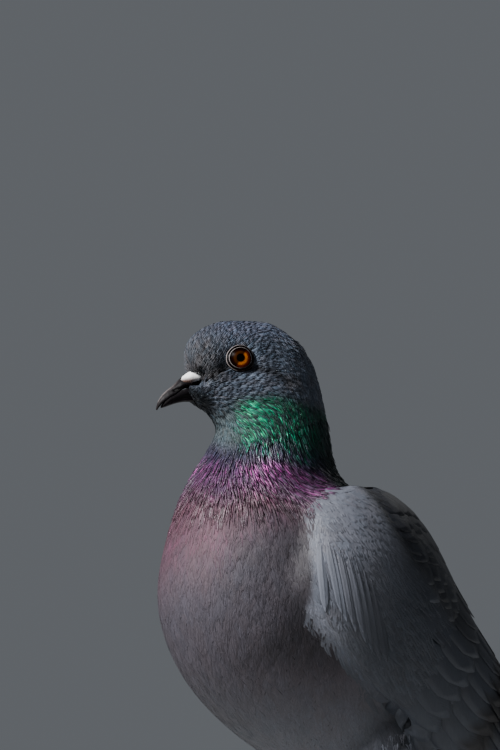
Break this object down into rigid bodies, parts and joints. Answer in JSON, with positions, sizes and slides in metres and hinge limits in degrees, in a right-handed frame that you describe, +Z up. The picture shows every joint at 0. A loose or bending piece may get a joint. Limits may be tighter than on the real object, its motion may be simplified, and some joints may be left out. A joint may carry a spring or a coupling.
{
  "type": "pigeon",
  "caption": "Life-size model of a grey feral pigeon standing alert on both feet, its head turned to its right.",
  "frame": {"origin": "centre of the footprint of the whole bird's box, on the floor under its feet", "axes": "+Z up; the body faces -Y; the bird's left side is +X; the head is turned towards -X"},
  "size_m": [0.104, 0.228, 0.2413],
  "materials": {
    "head_feathers": "dark slate feathers, soft and matt",
    "neck_feathers": "iridescent green and purple feathers",
    "body_feathers": "mauve grey feathers, soft and matt",
    "wing_feathers": "ash grey feathers with dark bars",
    "flight_feathers": "dark grey vanes, slight sheen",
    "tail_feathers": "grey vanes with a dark end band",
    "bill_horn": "horn, low gloss",
    "cere": "powdery white skin",
    "eye": "wet gloss over an orange iris",
    "leg_skin": "scaled red skin",
    "claw": "horn, low gloss"
  },
  "bodies": {
    "root": {"head": "head_feathers", "neck": "neck_feathers", "trunk": "body_feathers", "tail": "tail_feathers", "bill_upper": "bill_horn", "bill_lower": "bill_horn", "cere": "cere", "eye_left": "eye", "wing_left": "wing_feathers", "flight_left": "flight_feathers", "thigh_left": "body_feathers", "shank_left": "leg_skin", "foot_left": "leg_skin", "toe_middle_left": "leg_skin", "claw_middle_left": "claw", "toe_inner_left": "leg_skin", "claw_inner_left": "claw", "toe_outer_left": "leg_skin", "claw_outer_left": "claw", "toe_hind_left": "leg_skin", "claw_hind_left": "claw", "eye_right": "eye", "wing_right": "wing_feathers", "flight_right": "flight_feathers", "thigh_right": "body_feathers", "shank_right": "leg_skin", "foot_right": "leg_skin", "toe_middle_right": "leg_skin", "claw_middle_right": "claw", "toe_inner_right": "leg_skin", "claw_inner_right": "claw", "toe_outer_right": "leg_skin", "claw_outer_right": "claw", "toe_hind_right": "leg_skin", "claw_hind_right": "claw"}
  },
  "joints": []
}
